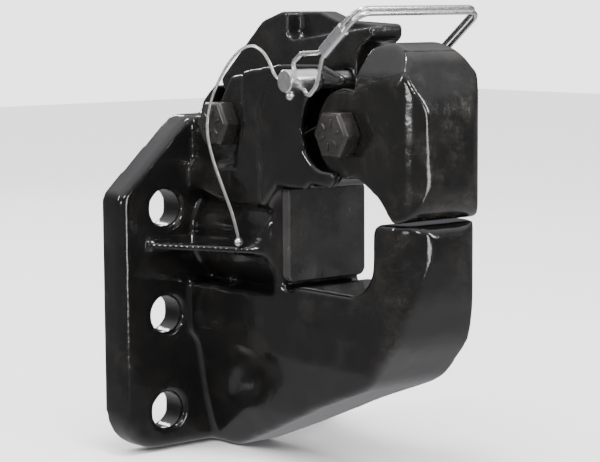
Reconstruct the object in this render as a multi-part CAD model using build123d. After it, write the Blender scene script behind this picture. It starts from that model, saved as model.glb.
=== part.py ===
from build123d import *
import math
import os

# Pintle hook for a trailer's eye ring. Millimetres.
# Origin: back face of the mounting plate, level with its middle holes.
# X runs across the hook, -Y points to the nose, Z is up.

# Driving dimensions
PLATE_HALF_WIDTH = 99.0
PLATE_THICK = 22.6
PLATE_TOP = 138.0
PLATE_BOTTOM = -94.0
CHAMFER_HALF_WIDTH = 40.0
CHAMFER_START = 85.0
PLATE_CORNER = 30.0
HOLE_R = 13.0
HOLE_X = 60.5
HOLE_TOP = 74.5
HOLE_BOTTOM = -68.0

TUBE_R = 38.0
TUBE_Z = 57.0
WALL_BACK = -105.0
WALL_FRONT = -117.0
RIB_TOP = 52.0
RIB_THICK = 5.0

BODY_HALF_WIDTH = 34.0
NOSE_FRONT = -243.0
HORN_BACK = -207.0
HORN_TOP = 76.5
THROAT_FLOOR = 28.0

EAR_OUT = 40.5
EAR_IN = 34.6
REAR_EAR_OUT = 37.0
REAR_EAR_IN = 24.0

LATCH_PIVOT = (-181.0, 132.0)
LEVER_PIVOT = (-60.0, 134.0)
PIVOT_R = 9.5
BUSH_R = 12.5
RUNNING_GAP = 0.05
TONGUE_HALF_WIDTH = 16.8
SLOT_HALF_WIDTH = 17.5
LEVER_HALF_WIDTH = 14.0
HEX_FLATS = 28.6
HEAD_THICK = 12.5
NUT_THICK = 16.0
WASHER_THICK = 2.8

PIN_Y = -160.0
PIN_Z = 166.0
PIN_R = 5.5
PIN_HEAD_R = 7.5
PIN_HEAD_END = -66.0
PIN_TIP = 46.0
BAIL_X = -53.0
BAIL_SPAN = 103.5
BAIL_LEG = 72.0
BAIL_TILT = math.radians(38.0)
BAIL_WIRE_R = 1.6
BAIL_PAIR = 2.0

SHOE_FRONT = -124.3
SHOE_HALF_WIDTH = 33.5
SHOE_BOTTOM = 30.0
SHOE_TOP = 93.0
ROD_R = 12.0
ROD_REAR = -8.0
WASHER_REAR = -5.1
SCREW_R = 3.95
GUIDE_R = 17.0

STOP_R = 3.1
PIN_STOP = (-61.0, PIN_Y, 156.6)
ANCHOR_STOP = (-46.0, -85.0, RIB_TOP + STOP_R)
CABLE_R = 1.05
CABLE_ROUTE = [
    (-62.0, -152.4, 166.5), (-62.0, -148.2, 167.2), (-62.0, -143.8, 171.5), (-62.0, -139.8, 178.5),
    (-62.0, -132.0, 185.8), (-62.0, -119.0, 189.0), (-62.0, -102.5, 181.5), (-62.0, -87.0, 166.0),
    (-62.0, -76.0, 149.0), (-62.0, -71.5, 131.0), (-60.5, -76.0, 112.0), (-57.0, -83.0, 92.0),
    (-51.5, -87.0, 73.0), (-46.4, -85.4, 58.4),
]


def outline(plane, points):
    """A closed outline on a plane; a third number rounds that corner."""
    face = make_face(Polyline(*[(p[0], p[1]) for p in points], close=True))
    for point in points:
        if len(point) == 3:
            corner = face.vertices().sort_by_distance((point[0], point[1], 0))[0]
            face = fillet(corner, point[2])
    return plane * face


def side_slab(points, x_low, x_high):
    """An outline seen from the side, as (y, z), from one x to another."""
    return extrude(outline(Plane.YZ.offset(x_low), points), x_high - x_low)


def plan_slab(points, z_low, z_high):
    """An outline seen from above, as (x, y), from one z to another."""
    return extrude(outline(Plane.XY.offset(z_low), points), z_high - z_low)


def front_slab(points, y_low, y_high):
    """An outline seen from the front, as (x, z), from one y to another."""
    face = outline(Plane.XZ.offset(-y_high), points)
    return extrude(face, y_high - y_low)


def rod_x(radius, x_low, x_high, y, z):
    """A round bar along X."""
    return Pos((x_low + x_high) / 2, y, z) * Rot(0, 90, 0) * Cylinder(radius, x_high - x_low)


def rod_y(radius, y_low, y_high, x, z):
    """A round bar along Y."""
    return Pos(x, (y_low + y_high) / 2, z) * Rot(90, 0, 0) * Cylinder(radius, y_high - y_low)


def hex_x(flats, x_low, x_high, y, z):
    """A hexagonal block along X, with two corners straight up and down."""
    plane = Plane.YZ.offset(x_low)
    block = extrude(plane * Pos(y, z) * Rot(0, 0, 30) * RegularPolygon(flats / 2, 6, major_radius=False),
                    x_high - x_low)
    return block


def mirrored(part):
    """The part and its mirror image across the hook's middle plane."""
    return part + mirror(part, about=Plane.YZ)


def turned(pivot, radius, degrees):
    """A point at a radius and an angle from a pivot, as (y, z)."""
    angle = math.radians(degrees)
    return (pivot[0] + radius * math.cos(angle), pivot[1] + radius * math.sin(angle))


def arc_points(pivot, radius, first, last, steps):
    """Points along an arc about a pivot."""
    return [turned(pivot, radius, first + (last - first) * i / steps) for i in range(steps + 1)]


def mounting_plate():
    w = PLATE_HALF_WIDTH
    plate = front_slab([
        (-w, PLATE_BOTTOM, PLATE_CORNER), (w, PLATE_BOTTOM, PLATE_CORNER),
        (w, CHAMFER_START, 8), (CHAMFER_HALF_WIDTH, PLATE_TOP, 8),
        (-CHAMFER_HALF_WIDTH, PLATE_TOP, 8), (-w, CHAMFER_START, 8),
    ], -PLATE_THICK, 0)
    rim = plate.faces().sort_by(Axis.Y)[0].edges()
    return fillet(rim, 5)


def lower_body():
    side = side_slab([
        (-5, PLATE_BOTTOM - 1), (-46, -95, 14), (-88, -78, 30), (-150, -51, 80), (-203, -31, 40),
        (-228, -1, 44), (-239, 31, 60), (NOSE_FRONT, 56, 60), (NOSE_FRONT, HORN_TOP, 9),
        (HORN_BACK, HORN_TOP, 7), (HORN_BACK, THROAT_FLOOR, 24), (-130, THROAT_FLOOR, 8),
        (-104, 20), (-5, 22),
    ], -60, 60)
    b = BODY_HALF_WIDTH
    plan = plan_slab([
        (-44, 0), (-41, -24), (-37, -60, 30), (-b, -120, 60), (-b, NOSE_FRONT, 24), (b, NOSE_FRONT, 24),
        (b, -120, 60), (37, -60, 30), (41, -24), (44, 0),
    ], -120, 120)
    front = front_slab([
        (-50, 130), (-46, -10), (-b - 1, -14, 20), (-27, -62, 40), (-17, -98, 8), (17, -98, 8),
        (27, -62, 40), (b + 1, -14, 20), (46, -10), (50, 130),
    ], -300, 10)
    return side & plan & front


def tube_and_wall():
    tube = rod_y(TUBE_R, WALL_BACK - 2, -PLATE_THICK + 4, 0, TUBE_Z)
    wall = front_slab([
        (-BODY_HALF_WIDTH, 14), (BODY_HALF_WIDTH, 14), (BODY_HALF_WIDTH, 94, 4), (-BODY_HALF_WIDTH, 94, 4),
    ], WALL_FRONT, WALL_BACK)
    rib = plan_slab([
        (-20, -PLATE_THICK + 3), (-76, -PLATE_THICK + 3), (-76, -26, 3), (-BODY_HALF_WIDTH, -108, 8), (-20, -112),
    ], RIB_TOP - RIB_THICK, RIB_TOP)
    return tube + wall + mirrored(rib)


def ears():
    y, z = LATCH_PIVOT
    front = side_slab([
        (-74, 107), (-94, 110.5, 6), (-140, 98.5, 8), (-176, 96.5, 5), (-179, 107, 2), (-160, 108.5, 3),
        (-149, 117, 12), (-143, 134, 22), (-150, 154, 14), (-166, 163, 8), (-186, 163, 2),
        (-187, 168.5, 3), (-164, 176.5, 10), (-127, 176, 30), (-82, 170, 3), (-82, 140),
    ], -EAR_OUT, -EAR_IN)
    rear = side_slab([
        (-5, 106), (-62, 104, 4), (-96, 112, 5), (-100, 168, 6), (-66, 167, 8), (-46, 138, 10), (-5, 137),
    ], -REAR_EAR_OUT, -REAR_EAR_IN)
    floor = side_slab([
        (-5, 94), (-5, 104), (-62, 104), (-96, 110), (-140, 99), (-150, 97.5), (-150, 94.6), (-118, 94.6),
        (-104, 80), (-60, 80),
    ], -EAR_OUT, EAR_OUT)
    tongue = side_slab([
        (-96, 100), (-100, 122, 14), (-160, 148), (y, z + 12), (y, z - 20), (-160, 104), (-150, 97),
    ], -TONGUE_HALF_WIDTH, TONGUE_HALF_WIDTH)
    hub = rod_x(27, -TONGUE_HALF_WIDTH, TONGUE_HALF_WIDTH, y, z)
    return mirrored(front + rear) + floor + tongue + hub


def tail_stop():
    """The wedge on the plate's top that fills in behind the lever's tail."""
    inner = arc_points(LEVER_PIVOT, 46.6, 8, 30, 4)
    return side_slab([(-1, 134), (-13, 134)] + inner + [(-16.5, 158.5), (-2, 146, 3)], -LEVER_HALF_WIDTH,
                     LEVER_HALF_WIDTH)


def hook_body():
    body = mounting_plate() + lower_body() + tube_and_wall() + ears() + tail_stop()
    for x in (-HOLE_X, HOLE_X):
        for z in (HOLE_TOP, 0, HOLE_BOTTOM):
            body -= rod_y(HOLE_R, -60, 10, x, z)
    body -= rod_x(PIVOT_R, -50, 50, *LATCH_PIVOT)
    body -= rod_x(PIVOT_R, -50, 50, *LEVER_PIVOT)
    body -= rod_x(PIN_R + RUNNING_GAP, -50, 50, PIN_Y, PIN_Z)
    body -= rod_y(GUIDE_R, -130, 10, 0, TUBE_Z)
    body -= rod_y(22, -30, 10, 0, TUBE_Z)
    return body


def latch():
    y, z = LATCH_PIVOT
    b = BODY_HALF_WIDTH
    side = side_slab([
        (-190.5, 150, 2), (-190.5, 174, 3), (-192, 187, 8), (-212, 191, 20), (-229, 184, 18), (-244, 152, 40),
        (-245, 100, 30), (-240, 80, 16), (-226, 77.5, 5), (-214, 92, 8), (-196, 103, 10), (-186, 106),
        (y, z - 26), (y, z),
    ], -b, b)
    hub = rod_x(29, -b, b, y, z)
    plan = plan_slab([(-b, -140), (-b, -245, 20), (b, -245, 20), (b, -140)], 0, 260)
    front = front_slab([
        (-b, 60), (-b, 167, 24), (-18, 192, 12), (18, 192, 12), (b, 167, 24), (b, 60),
    ], -300, -100)
    body = (side + hub) & plan & front
    slot_back = Pos(0, y + 50 - 8, z) * Box(2 * SLOT_HALF_WIDTH, 100, 200)
    body -= slot_back + rod_x(31, -SLOT_HALF_WIDTH, SLOT_HALF_WIDTH, y, z)
    body -= rod_x(BUSH_R, -50, 50, y, z)
    return body


def lock_lever():
    tail = arc_points(LEVER_PIVOT, 45, 38, 50.5, 3)
    side = side_slab([
        (-36, 134), (-30, 152, 8)] + tail + [
        (-72, 203.5, 14), (-92, 209.5, 12), (-119, 209.5, 14), (-138, 203.5, 20), (-184, 201.5, 3), (-184, 192, 5),
        (-175, 187, 4), (-170.5, 180, 4), (-169.5, 160, 3), (-151, 160, 3), (-150, 171, 6),
        (-128, 168, 16), (-104, 150, 20), (-84, 128), (-70, 112),
    ], -LEVER_HALF_WIDTH, LEVER_HALF_WIDTH)
    hub = rod_x(24, -LEVER_HALF_WIDTH, LEVER_HALF_WIDTH, *LEVER_PIVOT)
    scoop = side_slab([(-99, 215), (-99, 190.5, 6), (-190, 200.5), (-190, 215)], -LEVER_HALF_WIDTH - 1, -2)
    notch = side_slab([(PIN_Y - 6.2, PIN_Z, 0.5), (PIN_Y - 6.2, PIN_Z + 6.5, 5), (PIN_Y + 6.2, PIN_Z + 6.5, 5),
                       (PIN_Y + 6.2, PIN_Z, 0.5), (PIN_Y + 9.5, PIN_Z - 12), (PIN_Y - 9.5, PIN_Z - 12)], -20, 20)
    return side + hub - scoop - notch - rod_x(BUSH_R, -30, 30, *LEVER_PIVOT)


def bolt(pivot, head_seat, tip):
    """A hexagon-head bolt along X, head at the low end."""
    shank = rod_x(PIVOT_R - RUNNING_GAP, head_seat - 0.2, tip, *pivot)
    shank = chamfer(shank.faces().sort_by(Axis.X)[-1].edges(), 1.2)
    head = hex_x(HEX_FLATS, head_seat - HEAD_THICK, head_seat, *pivot)
    crown = Pos(head_seat - HEAD_THICK / 2, *pivot) * Rot(0, 90, 0) * Cylinder(HEX_FLATS * 0.56, HEAD_THICK)
    crown = chamfer(crown.faces().sort_by(Axis.X)[0].edges(), 2.2)
    return shank + (head & crown)


def nut(pivot, seat):
    """A hexagon nut along X."""
    block = hex_x(HEX_FLATS, seat, seat + NUT_THICK, *pivot)
    crown = Pos(seat + NUT_THICK / 2, *pivot) * Rot(0, 90, 0) * Cylinder(HEX_FLATS * 0.56, NUT_THICK)
    crown = chamfer(crown.faces().sort_by(Axis.X)[-1].edges(), 2.2)
    return (block & crown) - rod_x(PIVOT_R, seat - 1, seat + NUT_THICK + 1, *pivot)


def ring_x(outer, inner, x_low, x_high, pivot):
    """A plain ring along X."""
    return rod_x(outer, x_low, x_high, *pivot) - rod_x(inner, x_low - 1, x_high + 1, *pivot)


def bail_point(x, along, up):
    """A point of the bail: across, along its legs, and off its plane."""
    return (BAIL_X + x,
            PIN_Y - along * math.cos(BAIL_TILT) + up * math.sin(BAIL_TILT),
            PIN_Z + along * math.sin(BAIL_TILT) + up * math.cos(BAIL_TILT))


def pin_bail():
    half = [(0, 0, 5.4), (0, 0, 13.5), (0, 12, 12.5), (0, 27, BAIL_PAIR), (0, BAIL_LEG, BAIL_PAIR),
            (BAIL_SPAN, BAIL_LEG, BAIL_PAIR), (BAIL_SPAN, -0.5, BAIL_PAIR)]
    back = [(x, along, -up) for x, along, up in reversed(half)]
    radii = [4.0, 6.0, 8.0, 9.0, 9.0, 1.9]
    points = [bail_point(*p) for p in half + back]
    path = FilletPolyline(*points, radius=radii + radii[::-1])
    return sweep(Plane(origin=path @ 0, z_dir=path % 0) * Circle(BAIL_WIRE_R), path=path)


def bail_frame(along):
    """A plane across the bail's near leg."""
    return Plane(origin=bail_point(0, along, 0), x_dir=(1, 0, 0),
                 z_dir=(0, -math.cos(BAIL_TILT), math.sin(BAIL_TILT)))


def bail_sleeve():
    profile = bail_frame(30) * Rot(0, 0, 90) * SlotOverall(9.4, 5.4)
    sleeve = extrude(profile, 24)
    for up in (-BAIL_PAIR, BAIL_PAIR):
        hole = Plane(origin=bail_point(0, 25, up), z_dir=bail_frame(30).z_dir) * Circle(BAIL_WIRE_R + RUNNING_GAP)
        sleeve -= extrude(hole, 40)
    return sleeve


def safety_pin():
    shank = rod_x(PIN_R, -EAR_OUT - 1, PIN_TIP, PIN_Y, PIN_Z)
    shank = chamfer(shank.faces().sort_by(Axis.X)[-1].edges(), 1.5)
    head = rod_x(PIN_HEAD_R, PIN_HEAD_END, -EAR_OUT - 0.2, PIN_Y, PIN_Z)
    head = chamfer(head.faces().sort_by(Axis.X)[0].edges(), 0.8)
    pin = shank + head - Pos(*PIN_STOP) * Sphere(STOP_R)
    hinge = Plane(origin=bail_point(0, 0, -20), z_dir=(0, math.sin(BAIL_TILT), math.cos(BAIL_TILT)))
    return pin - extrude(hinge * Circle(BAIL_WIRE_R + RUNNING_GAP), 40)


def lever_spring():
    """The return spring: two turns round the lever's pivot, with a leg at each end."""
    y, z = LEVER_PIVOT
    pitch = 3.4
    mean_r = 15.6
    helix = Helix(pitch, 2 * pitch, mean_r)
    coil = sweep(Plane(origin=helix @ 0, z_dir=helix % 0) * Circle(1.4), path=helix)
    return Pos(15.8, y, z) * Rot(0, 90, 0) * coil


def plunger_shoe():
    shoe = front_slab([
        (-SHOE_HALF_WIDTH, SHOE_BOTTOM, 6), (SHOE_HALF_WIDTH, SHOE_BOTTOM, 6),
        (SHOE_HALF_WIDTH, SHOE_TOP, 3), (-SHOE_HALF_WIDTH, SHOE_TOP, 3),
    ], SHOE_FRONT, WALL_FRONT - 0.3)
    shoe = fillet(shoe.faces().sort_by(Axis.Y)[0].edges(), 1.5)
    return shoe - rod_y(6.5, SHOE_FRONT + 3.5, WALL_FRONT + 5, 0, TUBE_Z)


def plunger_rod():
    rod = rod_y(ROD_R, -100, ROD_REAR, 0, TUBE_Z) + rod_y(ROD_R, WALL_FRONT - 0.3, -100, 0, TUBE_Z)
    spigot = rod_y(6.4, SHOE_FRONT + 3.6, WALL_FRONT, 0, TUBE_Z)
    return rod + spigot - rod_y(4.0, -40, -7, 0, TUBE_Z)


def guide_bush(y_low, y_high):
    bush = rod_y(GUIDE_R, y_low, y_high, 0, TUBE_Z)
    return bush - rod_y(ROD_R + RUNNING_GAP, y_low - 1, y_high + 1, 0, TUBE_Z)


def rod_screw():
    """The socket screw that clamps the washer to the rod's rear end."""
    head = rod_y(9.0, WASHER_REAR + 0.1, -2.0, 0, TUBE_Z) - rod_y(3.4, -4.0, -1, 0, TUBE_Z)
    return head + rod_y(SCREW_R, -36, WASHER_REAR + 0.1, 0, TUBE_Z)


def rod_washer():
    """The washer behind the rod's end, wider than the rod, so the rod can't slide out forwards."""
    return rod_y(15.5, ROD_REAR + 0.1, WASHER_REAR, 0, TUBE_Z) - rod_y(SCREW_R + 0.15, -9, -4, 0, TUBE_Z)


def lanyard_cable():
    radii = []
    points = [Vector(*p) for p in CABLE_ROUTE]
    for before, here, after in zip(points, points[1:], points[2:]):
        first = here - before
        second = after - here
        turn = math.radians(first.get_angle(second))
        radii.append(0.45 * min(first.length, second.length) / math.tan(turn / 2))
    path = FilletPolyline(*CABLE_ROUTE, radius=radii)
    tube = sweep(Plane(origin=path @ 0, z_dir=path % 0) * Circle(CABLE_R), path=path)
    expected = math.pi * CABLE_R ** 2 * path.length
    print("cable length", round(path.length, 1), "volume ratio", round(tube.volume / expected, 4))
    print("cable radii", [round(r, 1) for r in radii])
    return tube


def anchor_stop():
    """The crimped ball at the cable's lower end, flat where the cable meets it."""
    x, y, z = ANCHOR_STOP
    return Pos(x, y, z) * Sphere(STOP_R) - Pos(x, y, z + 3.4) * Box(8, 8, 1)


nodes = {
    "hook_body": hook_body(),
    "latch": latch(),
    "lock_lever": lock_lever(),
    "latch_pivot_bolt": bolt(LATCH_PIVOT, -BODY_HALF_WIDTH - 0.2, 62),
    "latch_pivot_washer": ring_x(17.0, PIVOT_R, BODY_HALF_WIDTH + 0.2, BODY_HALF_WIDTH + WASHER_THICK, LATCH_PIVOT),
    "latch_pivot_nut": nut(LATCH_PIVOT, BODY_HALF_WIDTH + WASHER_THICK),
    "latch_bushings": mirrored(ring_x(BUSH_R - 0.01, PIVOT_R + 0.01, SLOT_HALF_WIDTH, BODY_HALF_WIDTH, LATCH_PIVOT)),
    "lever_pivot_bolt": bolt(LEVER_PIVOT, -REAR_EAR_OUT, 66),
    "lever_pivot_washer": ring_x(17.0, PIVOT_R, REAR_EAR_OUT, REAR_EAR_OUT + WASHER_THICK, LEVER_PIVOT),
    "lever_pivot_nut": nut(LEVER_PIVOT, REAR_EAR_OUT + WASHER_THICK),
    "lever_bushing": ring_x(BUSH_R - 0.01, PIVOT_R + 0.01, -LEVER_HALF_WIDTH, LEVER_HALF_WIDTH, LEVER_PIVOT),
    "lever_spring": lever_spring(),
    "safety_pin": safety_pin(),
    "pin_bail": pin_bail(),
    "bail_sleeve": bail_sleeve(),
    "lanyard_cable": lanyard_cable(),
    "lanyard_pin_stop": Pos(*PIN_STOP) * Sphere(STOP_R),
    "lanyard_anchor_stop": anchor_stop(),
    "plunger_shoe": plunger_shoe(),
    "plunger_rod": plunger_rod(),
    "front_guide_bush": guide_bush(-116.0, -90.0),
    "rear_guide_bush": guide_bush(-58.0, -36.0),
    "rod_washer": rod_washer(),
    "rod_screw": rod_screw(),
}

os.makedirs("parts", exist_ok=True)
for name, part in nodes.items():
    export_step(part, f"parts/{name}.step")
    print(name, len(part.solids()), "solids", round(part.volume), "mm3")
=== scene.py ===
# %% [markdown]
# # A pintle hook, piece by piece
# The CAD model is the fixed frame: every piece here takes its place and size from it.
# It is loaded first, and its box is kept; the floor is set just under it.

# %% Load the frame
import math

import bmesh
import bpy
from mathutils import Matrix, Quaternion, Vector


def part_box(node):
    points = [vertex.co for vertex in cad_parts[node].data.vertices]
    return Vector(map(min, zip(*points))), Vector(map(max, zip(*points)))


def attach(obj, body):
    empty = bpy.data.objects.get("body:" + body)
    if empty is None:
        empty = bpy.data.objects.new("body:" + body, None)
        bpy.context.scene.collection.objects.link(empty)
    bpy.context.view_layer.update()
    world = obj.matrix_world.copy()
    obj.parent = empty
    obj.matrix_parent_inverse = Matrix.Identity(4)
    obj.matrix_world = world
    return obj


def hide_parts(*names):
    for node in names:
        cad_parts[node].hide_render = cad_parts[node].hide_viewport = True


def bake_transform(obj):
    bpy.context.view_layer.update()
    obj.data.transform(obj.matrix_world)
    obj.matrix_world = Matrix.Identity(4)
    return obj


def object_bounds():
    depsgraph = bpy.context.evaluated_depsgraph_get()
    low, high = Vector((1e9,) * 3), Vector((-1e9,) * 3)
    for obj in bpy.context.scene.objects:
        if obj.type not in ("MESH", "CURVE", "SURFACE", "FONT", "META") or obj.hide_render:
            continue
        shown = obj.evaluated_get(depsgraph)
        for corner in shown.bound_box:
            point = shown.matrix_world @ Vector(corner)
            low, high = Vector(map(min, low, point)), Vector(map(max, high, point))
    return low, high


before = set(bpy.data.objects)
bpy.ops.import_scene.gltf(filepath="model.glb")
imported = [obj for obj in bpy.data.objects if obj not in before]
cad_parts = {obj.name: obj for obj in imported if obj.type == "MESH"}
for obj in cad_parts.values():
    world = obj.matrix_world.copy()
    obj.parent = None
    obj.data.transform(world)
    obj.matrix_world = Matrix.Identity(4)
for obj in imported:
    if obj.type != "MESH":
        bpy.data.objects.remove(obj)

cad_box = [list(map(float, corner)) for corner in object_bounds()]
MM = 0.001
print("frame nodes:", len(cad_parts), "box:", cad_box)

# %% [markdown]
# ## The camera
# A long lens a good metre away keeps the plate's edges nearly parallel, as a shop picture
# does. The view is a little from above and turned towards the hook's left side, so that the
# plate's face, the throat and the nose all show.

# %% Camera
CAMERA_AZIMUTH = math.radians(-39.37)
CAMERA_ELEVATION = math.radians(6.57)
CAMERA_DISTANCE = 1.384
CAMERA_TARGET = Vector((-0.0068, -0.1028, 0.0611))
CAMERA_ROLL = math.radians(-0.37)
CAMERA_LENS = 122.2

towards_camera = Vector((
    math.sin(CAMERA_AZIMUTH) * math.cos(CAMERA_ELEVATION),
    -math.cos(CAMERA_AZIMUTH) * math.cos(CAMERA_ELEVATION),
    math.sin(CAMERA_ELEVATION)))
camera_data = bpy.data.cameras.new("camera")
camera_data.lens = CAMERA_LENS
camera_data.sensor_width = 36.0
camera = bpy.data.objects.new("camera", camera_data)
bpy.context.collection.objects.link(camera)
camera.location = CAMERA_TARGET + CAMERA_DISTANCE * towards_camera
camera.rotation_mode = "QUATERNION"
camera.rotation_quaternion = ((-towards_camera).to_track_quat("-Z", "Y")
                              @ Quaternion((0, 0, 1), CAMERA_ROLL))
bpy.context.scene.camera = camera
print("camera at", tuple(round(v, 3) for v in camera.location))

# %% [markdown]
# ## Selecting in code
# An operator works on whatever is selected, and loading leaves the whole frame selected.
# These helpers leave one object active, or one set of faces selected by a test.

# %% Selection helpers
def only(obj):
    """Selects this object alone and makes it active."""
    bpy.ops.object.select_all(action="DESELECT")
    obj.select_set(True)
    bpy.context.view_layer.objects.active = obj
    return obj


def new_piece(name):
    """Names the object that an operator has just added."""
    obj = bpy.context.active_object
    obj.name = name
    return obj


def settle(obj):
    """Puts the object's place into its mesh."""
    only(obj)
    bpy.ops.object.transform_apply(location=True, rotation=True, scale=True)


def modify(obj, kind, **settings):
    """Adds a modifier and applies it."""
    only(obj)
    modifier = obj.modifiers.new(kind.lower(), kind)
    for key, value in settings.items():
        setattr(modifier, key, value)
    bpy.ops.object.modifier_apply(modifier=modifier.name)


def pick(obj, kind, test):
    """In edit mode, selects the faces, edges or vertices that pass a test."""
    bpy.ops.mesh.select_mode(type=kind)
    bpy.ops.mesh.select_all(action="DESELECT")
    mesh = bmesh.from_edit_mesh(obj.data)
    items = {"FACE": mesh.faces, "EDGE": mesh.edges, "VERT": mesh.verts}[kind]
    count = 0
    for item in items:
        if test(item):
            item.select_set(True)
            count += 1
    bmesh.update_edit_mesh(obj.data)
    return count


def centre_of(item):
    """The middle of a face or edge."""
    points = [v.co for v in item.verts]
    return sum(points, Vector()) / len(points)


def finish_piece(obj, material, body, nodes=(), smooth=40):
    """Shades a finished piece, gives it its material and lets it ride with its body."""
    settle(obj)
    if smooth:
        bpy.ops.object.shade_smooth_by_angle(angle=math.radians(smooth))
    obj.data.materials.clear()
    obj.data.materials.append(material)
    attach(obj, body)
    if nodes:
        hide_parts(*nodes)
    print(obj.name, len(obj.data.polygons), "faces")
    return obj

# %% [markdown]
# ## Shader maths as plain expressions
# A wrapped socket can be added and multiplied like a number, and each operation adds the
# Math node for it. Everything else in a material comes from one method, `node`.

# %% Shader helpers
class Value:
    """A number that varies over the surface: a socket that takes part in maths."""

    def __init__(self, paint, socket):
        self.paint = paint
        self.socket = socket

    def maths(self, operation, first, second):
        return self.paint.node("ShaderNodeMath", {"operation": operation}, [first, second])

    def __add__(self, other):
        return self.maths("ADD", self, other)

    def __mul__(self, other):
        return self.maths("MULTIPLY", self, other)

    __radd__ = __add__
    __rmul__ = __mul__


class Paint:
    """A material under construction."""

    def __init__(self, name):
        self.material = bpy.data.materials.new(name)
        self.material.use_nodes = True
        self.tree = self.material.node_tree
        self.shader = self.tree.nodes["Principled BSDF"]
        self.place = self.node("ShaderNodeTexCoord", output="Object")

    def node(self, kind, settings=None, inputs=None, output=0):
        """Adds a node, sets it up, fills its sockets by place or name and returns an output."""
        made = self.tree.nodes.new(kind)
        for key, value in (settings or {}).items():
            if key == "stops":
                ramp = made.color_ramp.elements
                for element, (position, colour) in zip((ramp[0], ramp[1]), value[:2]):
                    element.position, element.color = position, colour
                for position, colour in value[2:]:
                    ramp.new(position).color = colour
            else:
                setattr(made, key, value)
        pairs = enumerate(inputs) if isinstance(inputs, list) else (inputs or {}).items()
        for key, value in pairs:
            self.feed(made.inputs[key], value)
        return Value(self, made.outputs[output])

    def feed(self, socket, value):
        """Links a wrapped socket, or sets a plain value."""
        if isinstance(value, Value):
            self.tree.links.new(value.socket, socket)
        else:
            socket.default_value = value

    def set(self, **sockets):
        """Sets or links the shader's own sockets, written with underscores."""
        for key, value in sockets.items():
            self.feed(self.shader.inputs[key.replace("_", " ")], value)

    def noise(self, scale, detail=3.0, roughness=0.5, where=None):
        """Noise from 0 to 1 at a scale in features per metre."""
        return self.node("ShaderNodeTexNoise", None, {
            "Vector": where or self.place, "Scale": scale, "Detail": detail, "Roughness": roughness})

    def ramp(self, value, *stops):
        """Turns a number into a grey or a colour by stops."""
        spread = [(p, c if isinstance(c, tuple) else (c, c, c, 1)) for p, c in stops]
        return self.node("ShaderNodeValToRGB", {"stops": spread}, {"Fac": value})

    def bump(self, height, strength, depth, under=None):
        """A bump of a depth in metres."""
        inputs = {"Height": height, "Strength": strength, "Distance": depth}
        if under:
            inputs["Normal"] = under
        return self.node("ShaderNodeBump", None, inputs)

    def mix(self, factor, first, second):
        """A colour between two colours."""
        return self.node("ShaderNodeMix", {"data_type": "RGBA"},
                         {"Factor": factor, 6: first, 7: second}, output=2)

# %% [markdown]
# ## Gloss black paint on a casting
# The paint is nearly black with a thin hard gloss. Under it is a casting, so the surface
# rolls a little over a few centimetres, has a fine pebble grain of a millimetre or so, and
# the paint itself has orange peel. A thin brown-grey film lies in patches, where the
# gloss is duller: it is partly dust and partly painted reflection.

# %% Black paint
# The brown-grey of the patches: partly dust, partly painted reflection laid into the colour.
DUST_AND_REFLECTION_COLOUR = (0.050, 0.043, 0.034, 1)


def black_paint(name, tint, grain, gloss, dust_and_reflection):
    """Gloss black paint: its tint, its grain, its lowest roughness and how much dust and painted reflection
    it carries.
    """
    paint = Paint(name)
    rolls = paint.noise(70.0, 3.0)
    pebble = paint.noise(520.0, 3.0, 0.6)
    peel = paint.noise(1100.0, 1.0)
    patches = paint.noise(60.0, 4.0, 0.6)
    # Patches where the brown-grey lies: partly dust, partly painted reflection.
    dust_and_reflection_patches = paint.ramp(paint.noise(38.0, 5.0, 0.68), (0.50, 0.0), (0.74, 1.0)) * dust_and_reflection
    speckle = paint.ramp(pebble, (0.45, 0.0), (0.70, 1.0))
    dust_and_reflection_film = dust_and_reflection_patches * (0.35 + speckle * 0.65)
    dark = tuple(c * 0.7 for c in tint) + (1,)
    light = tuple(c * 2.2 for c in tint) + (1,)
    # The brown-grey film mixed into the colour is partly dust and partly painted reflection.
    colour = paint.mix(dust_and_reflection_film, paint.mix(patches, dark, light), DUST_AND_REFLECTION_COLOUR)
    normal = paint.bump(rolls, 0.5, 0.0007)
    normal = paint.bump(pebble, grain, 0.00014, normal)
    normal = paint.bump(peel, 0.25, 0.00004, normal)
    paint.set(Base_Color=colour, Roughness=patches * 0.14 + dust_and_reflection_film * 0.30 + gloss,
              IOR=1.6, Normal=normal, Specular_IOR_Level=0.5)
    print("paint", name)
    return paint.material


body_paint = black_paint("body_paint", (0.0030, 0.0029, 0.0028), 0.30, 0.04, 0.35)
latch_paint = black_paint("latch_paint", (0.0034, 0.0032, 0.0029), 0.34, 0.05, 0.60)
lever_paint = black_paint("lever_paint", (0.0045, 0.0044, 0.0042), 0.16, 0.12, 0.30)
# The shoe's tint is about five times lighter than the body's. This is painted reflection, so the black gloss
# plate reads as a grey mirror.
shoe_paint = black_paint("shoe_paint", (0.016, 0.0155, 0.015), 0.12, 0.14, 0.40)
fastener_paint = black_paint("fastener_paint", (0.0075, 0.0070, 0.0062), 0.60, 0.20, 0.85)

# %% [markdown]
# ## Bright metals
# The safety pin is bright zinc: a mirror broken up by fine turning marks and a faint
# cloudiness. Wire and cable are drawn steel, a little greyer, with scratches along them.

# %% Metals
def bright_metal(name, colour, roughness, mark_scale, mark_depth):
    """A bright metal with cloudy patches and fine marks drawn out along X."""
    paint = Paint(name)
    cloud = paint.noise(240.0, 4.0, 0.6)
    stretched = paint.node("ShaderNodeMapping", None, {"Vector": paint.place, "Scale": (0.08, 1.0, 1.0)})
    marks = paint.noise(mark_scale, 2.0, 0.6, stretched)
    dark = tuple(c * 0.72 for c in colour) + (1,)
    paint.set(Base_Color=paint.mix(cloud, dark, colour + (1,)), Metallic=1.0,
              Roughness=cloud * 0.16 + roughness, Normal=paint.bump(marks, 0.35, mark_depth))
    print("metal", name)
    return paint.material


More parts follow.
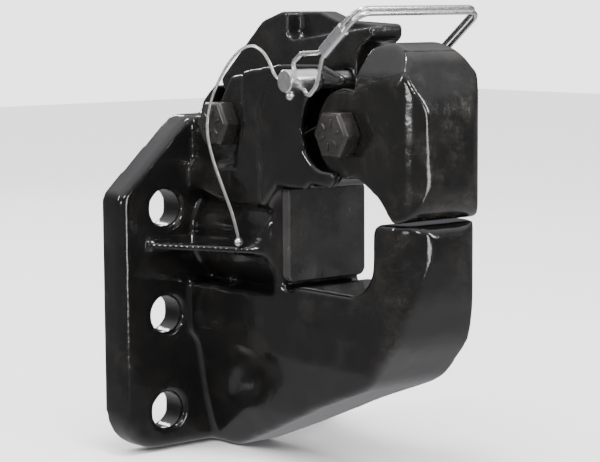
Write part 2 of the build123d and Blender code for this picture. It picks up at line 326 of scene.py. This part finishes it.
bright_zinc = bright_metal("bright_zinc", (0.95, 0.95, 0.95), 0.22, 2600.0, 0.00004)
bail_wire = bright_metal("bail_wire", (0.90, 0.90, 0.87), 0.20, 3200.0, 0.00003)
cable_wire = bright_metal("cable_wire", (0.74, 0.73, 0.70), 0.24, 4200.0, 0.00003)
rod_steel = bright_metal("rod_steel", (0.62, 0.62, 0.63), 0.20, 1800.0, 0.00004)
spring_steel = bright_metal("spring_steel", (0.30, 0.30, 0.31), 0.32, 1500.0, 0.00005)
bushing_bronze = bright_metal("bushing_bronze", (0.60, 0.42, 0.20), 0.28, 1600.0, 0.00005)

# %% [markdown]
# ## The lanyard
# A thin wire rope keeps the pin with the hook. It is stiff, so it stands in one smooth
# arch from the pin's head, falls past the ear and ends in a crimped ball on the rib.
# A smooth spline gives its line, and six strands are wound round that line as one mesh.

# %% Lanyard route
CABLE_ROUTE = [
    (-0.0620, -0.1524, 0.1665), (-0.0620, -0.1482, 0.1672), (-0.0620, -0.1438, 0.1715),
    (-0.0620, -0.1398, 0.1785), (-0.0620, -0.1320, 0.1858), (-0.0620, -0.1190, 0.1890),
    (-0.0620, -0.1025, 0.1815), (-0.0620, -0.0870, 0.1660), (-0.0620, -0.0760, 0.1490),
    (-0.0620, -0.0715, 0.1310), (-0.0605, -0.0760, 0.1120), (-0.0570, -0.0830, 0.0920),
    (-0.0515, -0.0870, 0.0730), (-0.0464, -0.0854, 0.0584),
]
CABLE_DIAMETER = 2.1 * MM


def spline_line(points):
    """Points along the smooth line that a NURBS spline draws."""
    data = bpy.data.curves.new("route", "CURVE")
    data.dimensions = "3D"
    data.resolution_u = 16
    spline = data.splines.new("NURBS")
    spline.points.add(len(points) - 1)
    for target, point in zip(spline.points, points):
        target.co = (*point, 1)
    spline.order_u = 3
    spline.use_endpoint_u = True
    obj = bpy.data.objects.new("route", data)
    bpy.context.collection.objects.link(obj)
    mesh = bpy.data.meshes.new_from_object(obj)
    line = [v.co.copy() for v in mesh.vertices]
    bpy.data.objects.remove(obj)
    return line


cable_line = spline_line(CABLE_ROUTE)
cable_length = sum((b - a).length for a, b in zip(cable_line, cable_line[1:]))
print("cable length", round(cable_length, 4), "points", len(cable_line))

# %% Lanyard strands
def strands(name, line, radius, count, lay_length):
    """Strands wound round a line, each a thin round tube, as one mesh."""
    strand_r = radius * 0.36
    mean_r = radius - strand_r
    sides = 6
    forward = (line[1] - line[0]).normalized()
    side = forward.orthogonal().normalized()
    frames, run = [], 0.0
    for i, point in enumerate(line):
        ahead = (line[min(i + 1, len(line) - 1)] - line[max(i - 1, 0)]).normalized()
        side = (side - ahead * side.dot(ahead)).normalized()
        if i:
            run += (point - line[i - 1]).length
        frames.append((point, ahead, side.copy(), ahead.cross(side), run))
    verts, faces = [], []
    for s in range(count):
        first = len(verts)
        for point, ahead, u, v, run in frames:
            turn = 2 * math.pi * (run / lay_length + s / count)
            out = u * math.cos(turn) + v * math.sin(turn)
            across = ahead.cross(out)
            centre = point + out * mean_r
            for k in range(sides):
                angle = 2 * math.pi * k / sides
                verts.append(centre + (out * math.cos(angle) + across * math.sin(angle)) * strand_r)
        for i in range(len(frames) - 1):
            for k in range(sides):
                a, b = first + i * sides + k, first + i * sides + (k + 1) % sides
                faces.append((a, b, b + sides, a + sides))
        faces.append(tuple(first + k for k in reversed(range(sides))))
        faces.append(tuple(first + (len(frames) - 1) * sides + k for k in range(sides)))
    mesh = bpy.data.meshes.new(name)
    mesh.from_pydata([tuple(v) for v in verts], [], faces)
    obj = bpy.data.objects.new(name, mesh)
    bpy.context.collection.objects.link(obj)
    return obj


def finer(line, step):
    """The same line with points no further apart than a step."""
    out = []
    for a, b in zip(line, line[1:]):
        count = max(1, math.ceil((b - a).length / step))
        out += [a.lerp(b, i / count) for i in range(count)]
    return out + [line[-1]]


STRANDS = 6
LAY_LENGTH = 9 * MM
STRAND_STEP = 0.6 * MM
cable = strands("lanyard", finer(cable_line, STRAND_STEP), CABLE_DIAMETER / 2, STRANDS, LAY_LENGTH)
cable.data.materials.append(cable_wire)
only(cable)
bpy.ops.object.shade_smooth_by_angle(angle=math.radians(60))
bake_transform(cable)
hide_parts("lanyard_cable")

# %% Cable balls
def crimped_ball(name, node, body, up):
    """A ball crimped on the cable, with a short collar on the cable's side."""
    low, high = (Vector(c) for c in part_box(node))
    centre = (low + high) / 2
    radius = (high.x - low.x) / 2
    bpy.ops.object.select_all(action="DESELECT")
    bpy.ops.mesh.primitive_uv_sphere_add(segments=32, ring_count=20, radius=radius * 0.97, location=centre)
    ball = new_piece(name)
    settle(ball)
    bpy.ops.object.mode_set(mode="EDIT")
    pick(ball, "FACE", lambda f: (centre_of(f) - centre).dot(up) > radius * 0.86)
    bpy.ops.mesh.extrude_region_move(TRANSFORM_OT_translate={"value": up * 0.35 * MM})
    bpy.ops.mesh.bevel(offset=0.2 * MM, segments=2)
    bpy.ops.object.mode_set(mode="OBJECT")
    return finish_piece(ball, bright_zinc, body, [node], smooth=50)


anchor_ball = crimped_ball("anchor_ball", "lanyard_anchor_stop", "root", Vector((0, 0, 1)))
crimped_ball("pin_ball", "lanyard_pin_stop", "pin_body", Vector((0, 0, 1)))

# %% [markdown]
# ## The three castings
# The body, latch and lever are castings: no edge on them is sharp. Rounding each edge by
# hand would be endless, so each one is a copy of its CAD solid, merged, remeshed as a
# skin of even small squares and relaxed, which rounds edges and fills inner corners
# the way a sand mould does, while the flat faces stay where they are.

# %% Castings
def casting(node, voxel, relax, material, body):
    """A softened copy of a CAD solid: merged, remeshed in small squares and relaxed."""
    only(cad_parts[node])
    bpy.ops.object.duplicate(linked=False)
    obj = new_piece("cast_" + node)
    obj.parent = None
    obj.matrix_world = Matrix()
    bpy.ops.object.mode_set(mode="EDIT")
    bpy.ops.mesh.select_all(action="SELECT")
    bpy.ops.mesh.remove_doubles(threshold=0.00001)
    bpy.ops.object.mode_set(mode="OBJECT")
    modify(obj, "REMESH", mode="VOXEL", voxel_size=voxel)
    modify(obj, "SMOOTH", factor=0.5, iterations=relax)
    return finish_piece(obj, material, body, [node], smooth=180)


casting("hook_body", 0.0019, 8, body_paint, "root")
casting("latch", 0.0012, 12, latch_paint, "latch_body")
casting("lock_lever", 0.0011, 10, lever_paint, "lever_body")

# %% [markdown]
# ## Bolts and nuts
# A heavy hexagon head is a six-sided cylinder whose outer corners are turned away at an
# angle. Six raised marks on the face give its strength grade. The far end is threaded.

# %% Fasteners
BOLT_FLATS = 28.6 * MM
HEAD_THICK = 12.5 * MM
SHANK_RADIUS = 9.45 * MM
THREAD_LENGTH = 24 * MM
MARKS = 6
FIRST_MARK = math.radians(12)
MARK_PROUD = 0.15 * MM


def hexagon(name, flats, low, high, centre):
    """A plain hexagonal block along X."""
    bpy.ops.object.select_all(action="DESELECT")
    bpy.ops.mesh.primitive_cylinder_add(
        vertices=6, radius=flats / math.sqrt(3), depth=high - low,
        location=((low + high) / 2, centre.y, centre.z), rotation=(0, math.pi / 2, 0))
    obj = new_piece(name)
    settle(obj)
    return obj


def bolt_head(name, node):
    """The head of a bolt, with its face drawn in and its outer corners turned away."""
    low, high = (Vector(c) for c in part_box(node))
    centre = (low + high) / 2
    head = hexagon(name, BOLT_FLATS, low.x, low.x + HEAD_THICK, centre)
    only(head)
    bpy.ops.object.mode_set(mode="EDIT")
    pick(head, "FACE", lambda f: f.normal.x < -0.9)
    bpy.ops.mesh.inset(thickness=1.6 * MM)
    bpy.ops.mesh.select_all(action="DESELECT")
    pick(head, "VERT", lambda v: v.co.x < low.x + 0.1 * MM
         and (v.co - centre).yz.length > BOLT_FLATS / math.sqrt(3) - 0.2 * MM)
    bpy.ops.transform.translate(value=(2.0 * MM, 0, 0))
    bpy.ops.object.mode_set(mode="OBJECT")
    modify(head, "BEVEL", width=0.7 * MM, segments=3, limit_method="ANGLE", angle_limit=math.radians(25))
    return head, low, high, centre


def mark(angle, face_x, centre):
    """One raised grade mark on the head's face."""
    bpy.ops.object.select_all(action="DESELECT")
    bpy.ops.mesh.primitive_cube_add(size=1)
    obj = new_piece("mark")
    obj.scale = (1.5 * MM, 2.2 * MM, 5.4 * MM)
    settle(obj)
    modify(obj, "BEVEL", width=0.6 * MM, segments=2)
    obj.matrix_world = (Matrix.Translation((face_x, centre.y, centre.z))
                        @ Matrix.Rotation(angle, 4, "X") @ Matrix.Translation((0, 0, 7.6 * MM)))
    settle(obj)
    return obj


def join(pieces, name):
    """Joins pieces into one object."""
    bpy.ops.object.select_all(action="DESELECT")
    for piece in pieces:
        piece.select_set(True)
    bpy.context.view_layer.objects.active = pieces[0]
    bpy.ops.object.join()
    pieces[0].name = name
    return pieces[0]


def thread(name, radius, low, high, centre, pitch=2.6 * MM):
    """A threaded stretch: one wedge-shaped turn, screwed along X."""
    turns = int((high - low) / pitch)
    steps = 32
    rings = []
    verts, faces = [], []
    depth = 0.8 * MM
    for i in range(turns * steps + 1):
        angle = 2 * math.pi * i / steps
        x = low + pitch * i / steps
        for dx, r in ((-0.5, radius - depth), (-0.12, radius), (0.12, radius), (0.5, radius - depth)):
            verts.append((x + dx * pitch, centre.y + r * math.cos(angle), centre.z + r * math.sin(angle)))
        if i:
            base = 4 * (i - 1)
            faces += [(base + k, base + k + 1, base + k + 5, base + k + 4) for k in range(3)]
            faces.append((base + 3, base, base + 4, base + 7))
    faces += [(3, 2, 1, 0), tuple(4 * turns * steps + k for k in range(4))]
    mesh = bpy.data.meshes.new(name)
    mesh.from_pydata(verts, [], faces)
    obj = bpy.data.objects.new(name, mesh)
    bpy.context.collection.objects.link(obj)
    only(obj)
    bpy.ops.object.mode_set(mode="EDIT")
    bpy.ops.mesh.select_all(action="SELECT")
    bpy.ops.mesh.normals_make_consistent(inside=False)
    bpy.ops.object.mode_set(mode="OBJECT")
    return obj


def bolt(name, node, body):
    """A bolt with its grade marks, plain shank and threaded end, head at the low end."""
    head, low, high, centre = bolt_head(name, node)
    pieces = [head]
    for i in range(MARKS):
        turn = 2 * math.pi * i / MARKS + FIRST_MARK
        pieces.append(mark(turn, low.x - MARK_PROUD, centre))
    seat = low.x + HEAD_THICK
    threaded = high.x - THREAD_LENGTH
    bpy.ops.object.select_all(action="DESELECT")
    bpy.ops.mesh.primitive_cylinder_add(vertices=64, radius=SHANK_RADIUS, depth=threaded - seat + 1 * MM,
                                        location=((seat + threaded) / 2, centre.y, centre.z),
                                        rotation=(0, math.pi / 2, 0))
    pieces.append(new_piece("shank"))
    settle(pieces[-1])
    bpy.ops.object.select_all(action="DESELECT")
    bpy.ops.mesh.primitive_cylinder_add(vertices=64, radius=SHANK_RADIUS - 0.75 * MM,
                                        depth=high.x - threaded,
                                        location=((high.x + threaded) / 2, centre.y, centre.z),
                                        rotation=(0, math.pi / 2, 0))
    core = new_piece("core")
    settle(core)
    modify(core, "BEVEL", width=0.9 * MM, segments=2, limit_method="ANGLE", angle_limit=math.radians(40))
    pieces.append(core)
    pieces.append(thread("thread", SHANK_RADIUS, threaded, high.x - 3.0 * MM, centre))
    return finish_piece(join(pieces, name), fastener_paint, body, [node], smooth=35)


def nut(name, node, body):
    """A hexagon nut with turned corners and a round locking collar."""
    low, high = (Vector(c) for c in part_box(node))
    centre = (low + high) / 2
    block = hexagon(name, BOLT_FLATS, low.x, high.x - 2.2 * MM, centre)
    only(block)
    bpy.ops.object.mode_set(mode="EDIT")
    pick(block, "FACE", lambda f: abs(f.normal.x) > 0.9)
    bpy.ops.mesh.inset(thickness=2.0 * MM)
    pick(block, "VERT", lambda v: (v.co - centre).yz.length > BOLT_FLATS / math.sqrt(3) - 0.2 * MM)
    bpy.ops.transform.resize(value=(0.76, 1, 1), center_override=centre)
    bpy.ops.object.mode_set(mode="OBJECT")
    modify(block, "BEVEL", width=0.6 * MM, segments=3, limit_method="ANGLE", angle_limit=math.radians(20))
    bpy.ops.object.select_all(action="DESELECT")
    bpy.ops.mesh.primitive_torus_add(major_segments=64, minor_segments=20, major_radius=10.6 * MM,
                                     minor_radius=2.4 * MM, location=(high.x - 2.4 * MM, centre.y, centre.z),
                                     rotation=(0, math.pi / 2, 0))
    collar = new_piece("collar")
    settle(collar)
    return finish_piece(join([block, collar], name), fastener_paint, body, [node], smooth=35)


bolt("latch_bolt", "latch_pivot_bolt", "root")
bolt("lever_bolt", "lever_pivot_bolt", "root")
nut("latch_nut", "latch_pivot_nut", "root")
nut("lever_nut", "lever_pivot_nut", "root")

# %% [markdown]
# ## The bail
# One length of springy wire is bent double: both ends go into the pin's head, and the fold
# goes over the pin's tip. A curve with a round bevel is the natural way to draw wire, and
# the points are the wire's own bends, taken in the plane in which the bail lies.

# %% Bail
BAIL_TILT = math.radians(38.0)
PIN_HINGE = Vector((-0.053, -0.160, 0.166))
BAIL_SPAN = 103.5 * MM
BAIL_LEG = 72.0 * MM
WIRE_RADIUS = 1.6 * MM
PAIR = 2.0 * MM
leg_way = Vector((0, -math.cos(BAIL_TILT), math.sin(BAIL_TILT)))
off_plane = Vector((0, math.sin(BAIL_TILT), math.cos(BAIL_TILT)))


def bail_point(across, along, up):
    """A point given across the hook, along the legs and off their plane."""
    return PIN_HINGE + Vector((across, 0, 0)) + along * leg_way + up * off_plane


def rounded(points, radii, steps=8):
    """Points along straight runs joined by arcs."""
    out = [points[0]]
    for before, here, after, radius in zip(points, points[1:], points[2:], radii):
        a, b = (before - here).normalized(), (after - here).normalized()
        half = a.angle(b) / 2
        reach = radius / math.tan(half)
        centre = here + (a + b).normalized() * radius / math.sin(half)
        start, end = here + a * reach - centre, here + b * reach - centre
        for i in range(steps + 1):
            out.append(centre + start.slerp(end, i / steps, start) * radius)
    out.append(points[-1])
    return out


def wire(name, points, radius, material, body, nodes):
    """A poly curve with a round bevel, made into a mesh."""
    data = bpy.data.curves.new(name, "CURVE")
    data.dimensions = "3D"
    data.bevel_depth = radius
    data.bevel_resolution = 6
    data.use_fill_caps = True
    spline = data.splines.new("POLY")
    spline.points.add(len(points) - 1)
    for target, point in zip(spline.points, points):
        target.co = (*point, 1)
    obj = bpy.data.objects.new(name, data)
    bpy.context.collection.objects.link(obj)
    only(obj)
    bpy.ops.object.convert(target="MESH")
    return finish_piece(bpy.context.active_object, material, body, nodes, smooth=60)


half = [(0, 0, 5.4 * MM), (0, 0, 13.5 * MM), (0, 12 * MM, 12.5 * MM), (0, 27 * MM, PAIR), (0, BAIL_LEG, PAIR),
        (BAIL_SPAN, BAIL_LEG, PAIR), (BAIL_SPAN, -0.5 * MM, PAIR)]
other_half = [(x, along, -up) for x, along, up in reversed(half)]
bend_radii = [r * MM for r in (4.0, 6.0, 8.0, 9.0, 9.0, 1.9)]
bail_line = rounded([bail_point(*p) for p in half + other_half], bend_radii + bend_radii[::-1])
wire("bail", bail_line, WIRE_RADIUS, bail_wire, "bail_body", ["pin_bail"])

# %% [markdown]
# ## Pieces that keep their CAD shape
# The pin, sleeve, shoe, rod and bushings are plain turned or pressed pieces whose CAD
# solids are already right, so they keep them and take the finishes made above.

# %% Finishes for CAD pieces
finishes = {
    "safety_pin": bright_zinc, "bail_sleeve": bright_zinc, "latch_pivot_washer": fastener_paint,
    "lever_pivot_washer": fastener_paint, "latch_bushings": bushing_bronze, "lever_bushing": bushing_bronze,
    "lever_spring": spring_steel, "plunger_shoe": shoe_paint, "plunger_rod": rod_steel,
    "front_guide_bush": bushing_bronze, "rear_guide_bush": bushing_bronze, "rod_washer": rod_steel,
    "rod_screw": rod_steel,
}
for node, material in finishes.items():
    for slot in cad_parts[node].material_slots:
        slot.material = material
print("finished", len(finishes), "CAD pieces")

# %% [markdown]
# ## Floor and light
# A plain pale floor runs into a pale wall. Gloss black shows only what it mirrors, so a
# bright room all round would turn it grey. The room is therefore pale where it is seen,
# but what the paint mirrors is dark at eye level and bright overhead and underfoot, as with
# black flags round a product table. Small soft lamps make the sharp highlights.

# %% Stage
FLOOR = cad_box[0][2] - 0.0015
bpy.ops.object.select_all(action="DESELECT")
bpy.ops.mesh.primitive_plane_add(size=8, location=(0, 0, FLOOR))
floor = new_piece("floor")
settle(floor)
stage_paint = Paint("stage")
floor_colour = stage_paint.mix(stage_paint.noise(3.0), (0.88, 0.88, 0.88, 1), (0.91, 0.91, 0.91, 1))
stage_paint.set(Base_Color=floor_colour, Roughness=0.7)
floor.data.materials.append(stage_paint.material)
floor.visible_glossy = False

# %% Lamps
def lamp(name, kind, place, power, mirrored=True, **settings):
    """A lamp that points at the middle of the hook."""
    data = bpy.data.lights.new(name, kind)
    data.energy = power
    for key, value in settings.items():
        setattr(data, key, value)
    obj = bpy.data.objects.new(name, data)
    bpy.context.collection.objects.link(obj)
    obj.location = place
    obj.rotation_mode = "QUATERNION"
    obj.rotation_quaternion = (Vector((0, -0.1, 0.05)) - Vector(place)).to_track_quat("-Z", "Y")
    obj.visible_glossy = mirrored
    return obj


lamp("fill", "SUN", (-0.3, -0.4, 1.0), 5.0, mirrored=False, angle=1.4)
lamp("overhead", "AREA", (-0.15, -0.25, 1.3), 16, shape="RECTANGLE", size=0.24, size_y=0.24)
lamp("left", "AREA", (-1.5, 0.25, 0.75), 12, shape="RECTANGLE", size=0.12, size_y=0.7)
lamp("right", "AREA", (0.9, -1.5, 0.7), 10, shape="RECTANGLE", size=0.14, size_y=0.8)
lamp("front", "AREA", (-0.5, -1.9, 0.9), 9, shape="RECTANGLE", size=0.2, size_y=0.2)
lamp("window", "AREA", (0.3, -1.6, 0.1), 5, shape="RECTANGLE", size=0.22, size_y=0.7)
lamp("low", "AREA", (-1.3, -0.9, 0.15), 2.5, shape="RECTANGLE", size=0.5, size_y=0.08)
lamp("back", "AREA", (0.6, 1.6, 0.9), 8, shape="RECTANGLE", size=0.5, size_y=0.3)

# %% Room
world = bpy.data.worlds.new("studio")
bpy.context.scene.world = world
world.use_nodes = True
room = world.node_tree
sky = room.nodes["Background"]
direction = room.nodes.new("ShaderNodeTexCoord")
parts = room.nodes.new("ShaderNodeSeparateXYZ")
height = room.nodes.new("ShaderNodeMapRange")
height.inputs["From Min"].default_value = -1.0
mirror = room.nodes.new("ShaderNodeValToRGB")
seen = room.nodes.new("ShaderNodeLightPath")
choice = room.nodes.new("ShaderNodeMix")
choice.data_type = "RGBA"
ROOM_STOPS = [(0.0, 0.9), (0.22, 0.55), (0.40, 0.20), (0.56, 0.17), (0.70, 0.35), (0.84, 1.1), (1.0, 1.4)]
stops = mirror.color_ramp.elements
stops[1].position = 1.0
for position, level in ROOM_STOPS[1:-1]:
    stops.new(position)
for stop, (position, level) in zip(stops, ROOM_STOPS):
    stop.position = position
    stop.color = (level, level, level * 1.04, 1)
room.links.new(direction.outputs["Generated"], parts.inputs[0])
room.links.new(parts.outputs["Z"], height.inputs["Value"])
room.links.new(height.outputs["Result"], mirror.inputs["Fac"])
room.links.new(seen.outputs["Is Camera Ray"], choice.inputs["Factor"])
room.links.new(mirror.outputs["Color"], choice.inputs[6])
choice.inputs[7].default_value = (3.0, 3.0, 3.0, 1)
room.links.new(choice.outputs[2], sky.inputs["Color"])
sky.inputs["Strength"].default_value = 1.0
print("lights set")
